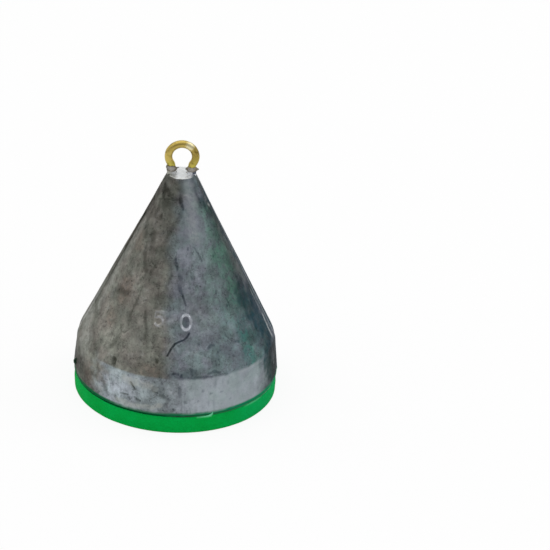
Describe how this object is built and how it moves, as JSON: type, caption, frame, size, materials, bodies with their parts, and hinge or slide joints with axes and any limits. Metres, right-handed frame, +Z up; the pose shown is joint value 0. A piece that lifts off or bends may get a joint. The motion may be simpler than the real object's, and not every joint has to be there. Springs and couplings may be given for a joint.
{
  "type": "depth plummet",
  "caption": "Cone-shaped lead depth plummet with a wire eye cast into its tip and a soft foam pad under its flat base that holds a hook point.",
  "frame": {"origin": "centre of the foam pad's underside, the face that the plummet stands on", "axes": "+Z up along the axis of the cone to the eye; +X across the eye, in the plane of its ring and of the casting's parting line; +Y along the hole of the eye"},
  "size_m": [0.0226, 0.0224, 0.0303],
  "materials": {
    "foam": "matte",
    "glue": "satin",
    "lead": "satin",
    "brass_wire": "polished"
  },
  "bodies": {
    "root": {"foam_pad": "foam", "glue_line": "glue", "lead_body": "lead", "wire_eye": "brass_wire"}
  },
  "joints": []
}
